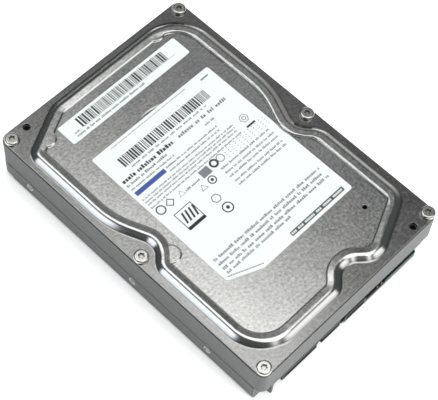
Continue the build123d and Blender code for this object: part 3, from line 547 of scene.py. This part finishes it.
main = Sheetwork("main_label_print", *inks)
words(main, -22.3, 19.7, 38.1, 0.5)
main.block(27.4, 36.2, 31.6, 36.9, *ink_z, GREY)
stripes(main, -24, 24.7, 27.8, 32.8)
words(main, -22, 20, 26.3, 0.9, gap=2)
words(main, -29.8, -2.3, 23.4, 1.9, BLACK)
words(main, 1.2, 28.8, 23.4, 1.6, GREY, gap=1.5)
words(main, -29.8, -7.2, 20.8, 1.2)
words(main, 13, 18, 19.8, 0.9)
words(main, -29.8, -6.3, 18.5, 0.9)
main.block(-29.8, 14.8, -13.6, 16.9, *ink_z, BLUE)
for i in range(2):
    words(main, -12.5, 16, 16.3 - 2 * i, 0.9)
for y in (12.1, 10.6, 9.1, 7.2):
    words(main, -29.8, 21.2, y, 0.8)
for i in range(12):
    for j in range(4):
        main.disc(9.4 + 2.1 * i, 2.4 + 1.3 * j, 0.22, *ink_z, GREY, sides=8)
main.ring(-27.6, 4.0, 1.9, 0.55, *ink_z, BLACK)
main.ring(-22.6, 4.0, 1.9, 0.55, *ink_z, BLACK, sides=4)
main.ring(-16.5, 3.6, 1.7, 0.35, *ink_z, GREY, sides=3, start=90)
words(main, -14.5, -6.5, 3.4, 1.0)
main.block(-5.2, 2.2, -0.4, 6.0, *ink_z, GREY)
main.ring(2.6, 4.6, 1.6, 0.9, *ink_z, BLACK)
main.ring(6.3, 4.6, 1.7, 0.4, *ink_z, GREY)
main.ring(26.8, 11.2, 2.0, 0.35, *ink_z, GREY, sides=6)
main.ring(26.8, 11.2, 0.9, 0.35, *ink_z, GREY, sides=6)
main.block(24.5, 6.7, 29.2, 7.6, *ink_z, BLACK)
# plain square of slanted bars over a dark bar
main.ring(-21.3, -5.6, 6.2, 0.5, *ink_z, BLACK, sides=4, start=45)
for i in range(4):
    x = -24.6 + 1.9 * i
    main.prism([(x, -7.6), (x + 0.9, -7.6), (x + 2.2, -2.6), (x + 1.3, -2.6)], *ink_z, BLACK)
main.block(-25.8, -10.6, -16.8, -9.1, *ink_z, BLACK)
main.ring(-8.3, -0.7, 1.7, 0.4, *ink_z, BLACK, sides=3, start=90)
main.ring(-3.3, -0.3, 1.7, 0.5, *ink_z, BLACK)
main.disc(-3.3, -0.3, 0.7, *ink_z, BLACK)
main.ring(-8.3, -7.4, 2.0, 0.5, *ink_z, GREY, sides=6)
main.ring(-7.8, -13.4, 2.2, 0.55, *ink_z, BLACK)
main.disc(-7.8, -13.4, 0.8, *ink_z, BLACK)
for y in (0.6, -1.9, -4.2, -7.0, -9.2):
    words(main, 2.8, 30.6, y, 1.0)
for y, x1 in ((-26.2, 31.6), (-28.7, 31.6), (-31.2, 31.6), (-33.4, 6.8)):
    words(main, -28.8, x1, y, 1.35, gap=1.3)
main.block(1.0, -40.3, 31.3, -38.3, *ink_z, BLACK)
# pale dashes over the dark bar, in groups
for x0, x1 in ((1.5, 4.2), (5.0, 8.2), (9.0, 14.6), (15.5, 18.6), (19.5, 24.4), (25.3, 30.8)):
    step = (x1 - x0) / round((x1 - x0) / 0.95)
    x = x0
    while x < x1 - 0.3:
        main.block(x, -39.8, x + step * 0.68, -38.8, ink_z[1], ink_z[1] + 0.01, WHITE)
        x += step
for i in range(14):
    a, b = i / 14, (i + 0.72) / 14
    x0, y0, x1, y1 = -30.0, -34.9, -15.6, -40.7
    px, py = (x0 + (x1 - x0) * a, y0 + (y1 - y0) * a)
    qx, qy = (x0 + (x1 - x0) * b, y0 + (y1 - y0) * b)
    main.prism([(px, py), (qx, qy), (qx + 0.22, qy + 0.5), (px + 0.22, py + 0.5)], *ink_z, GREY)
main.finish()

# ---- underside of the board ------------------------------------------------
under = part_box("circuit_board")[0].z / MM


def leads(sheet, chip, pitch, sides, wide):
    """Bent leads along the sides of a chip: shoulder, slope and foot on the board."""
    low, high = [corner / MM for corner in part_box(chip)]
    half = (high - low) / 2
    mid = low + half
    profile = [(-0.1, 0.66), (0.34, 0.66), (0.62, 0.13), (1.12, 0.13),
               (1.12, 0), (0.54, 0), (0.26, 0.53), (-0.1, 0.53)]
    for dx, dy in sides:
        reach, span = (half.x, half.y) if dx else (half.y, half.x)
        count = int(2 * (span - 0.7) / pitch)
        for i in range(count + 1):
            along = (i - count / 2) * pitch
            rows = []
            for side in (-wide / 2, wide / 2):
                rows.append([sheet.mesh.verts.new((
                    (mid.x + dx * (reach + u) + dy * (along + side)) * MM,
                    (mid.y + dy * (reach + u) + dx * (along + side)) * MM,
                    (under - v) * MM)) for u, v in profile])
            sheet.mesh.faces.new(rows[0])
            sheet.mesh.faces.new(rows[1][::-1])
            for j in range(len(profile)):
                k = (j + 1) % len(profile)
                sheet.mesh.faces.new((rows[0][j], rows[0][k], rows[1][k], rows[1][j]))


around = ((1, 0), (-1, 0), (0, 1), (0, -1))
pins = Sheetwork("chip_leads", solder)
leads(pins, "controller_chip", 0.5, around, 0.24)
leads(pins, "memory_chip", 0.8, ((0, 1), (0, -1)), 0.36)
leads(pins, "motor_driver_chip", 0.5, around, 0.24)
pins.finish()

pads = Sheetwork("solder_pads", solder, gold)
for name, grow in (("quartz_crystal", 0.5), ("power_inductors", 0.4), ("board_passives", 0.34),
                   ("filter_capacitors", 0.5)):
    for x0, y0, x1, y1 in islands(nodes[name]):
        for end in (-1, 1):
            if x1 - x0 >= y1 - y0:
                cx, cy = (x1 if end > 0 else x0), (y0 + y1) / 2
                pads.block(cx - grow, cy - (y1 - y0) * 0.46, cx + grow, cy + (y1 - y0) * 0.46,
                           under - 0.12, under)
            else:
                cx, cy = (x0 + x1) / 2, (y1 if end > 0 else y0)
                pads.block(cx - (x1 - x0) * 0.46, cy - grow, cx + (x1 - x0) * 0.46, cy + grow,
                           under - 0.12, under)
for x0, y0, x1, y1 in islands(nodes["board_screws"]):
    pads.ring((x0 + x1) / 2, (y0 + y1) / 2, 3.15, 0.8, under - 0.03, under, ink=1, sides=32)
# fields of test points and vias: first corner, then how many across and down
for x, y, across, down in ((-26, -50.5, 9, 2), (-10, -41, 3, 5), (22, -38, 5, 3), (24, -50, 3, 4),
                           (-34, -30, 2, 5), (2, -12.5, 7, 1), (8, -48, 4, 4)):
    for i in range(across):
        for j in range(down):
            pads.disc(x + 1.9 * i + rng.uniform(-0.3, 0.3), y + 1.9 * j + rng.uniform(-0.3, 0.3),
                      rng.choice((0.25, 0.3, 0.5)), under - 0.03, under, ink=1, sides=14)
pads.finish()

# ---- floor -----------------------------------------------------------------
disc = bmesh.new()
bmesh.ops.create_circle(disc, cap_ends=True, segments=96, radius=0.45)
data = bpy.data.meshes.new("floor")
disc.to_mesh(data)
disc.free()
floor = bpy.data.objects.new("floor", data)
floor.location.z = -0.0002
card = surface("floor_card", (0.95, 0.95, 0.95), (0.935, 0.935, 0.935), grain=60, rough=(0.75, 0.85),
               bump=0.02, Emission_Color=(1, 1, 1, 1), Emission_Strength=0.42)
# the floor is clear from its underside, so the board can be looked at from below
tree = card.node_tree
side = tree.nodes.new("ShaderNodeNewGeometry")
clear = tree.nodes.new("ShaderNodeBsdfTransparent")
choice = tree.nodes.new("ShaderNodeMixShader")
tree.links.new(side.outputs["Backfacing"], choice.inputs[0])
tree.links.new(tree.nodes["Principled BSDF"].outputs[0], choice.inputs[1])
tree.links.new(clear.outputs[0], choice.inputs[2])
tree.links.new(choice.outputs[0], tree.nodes["Material Output"].inputs[0])
data.materials.append(card)
scene.collection.objects.link(floor)
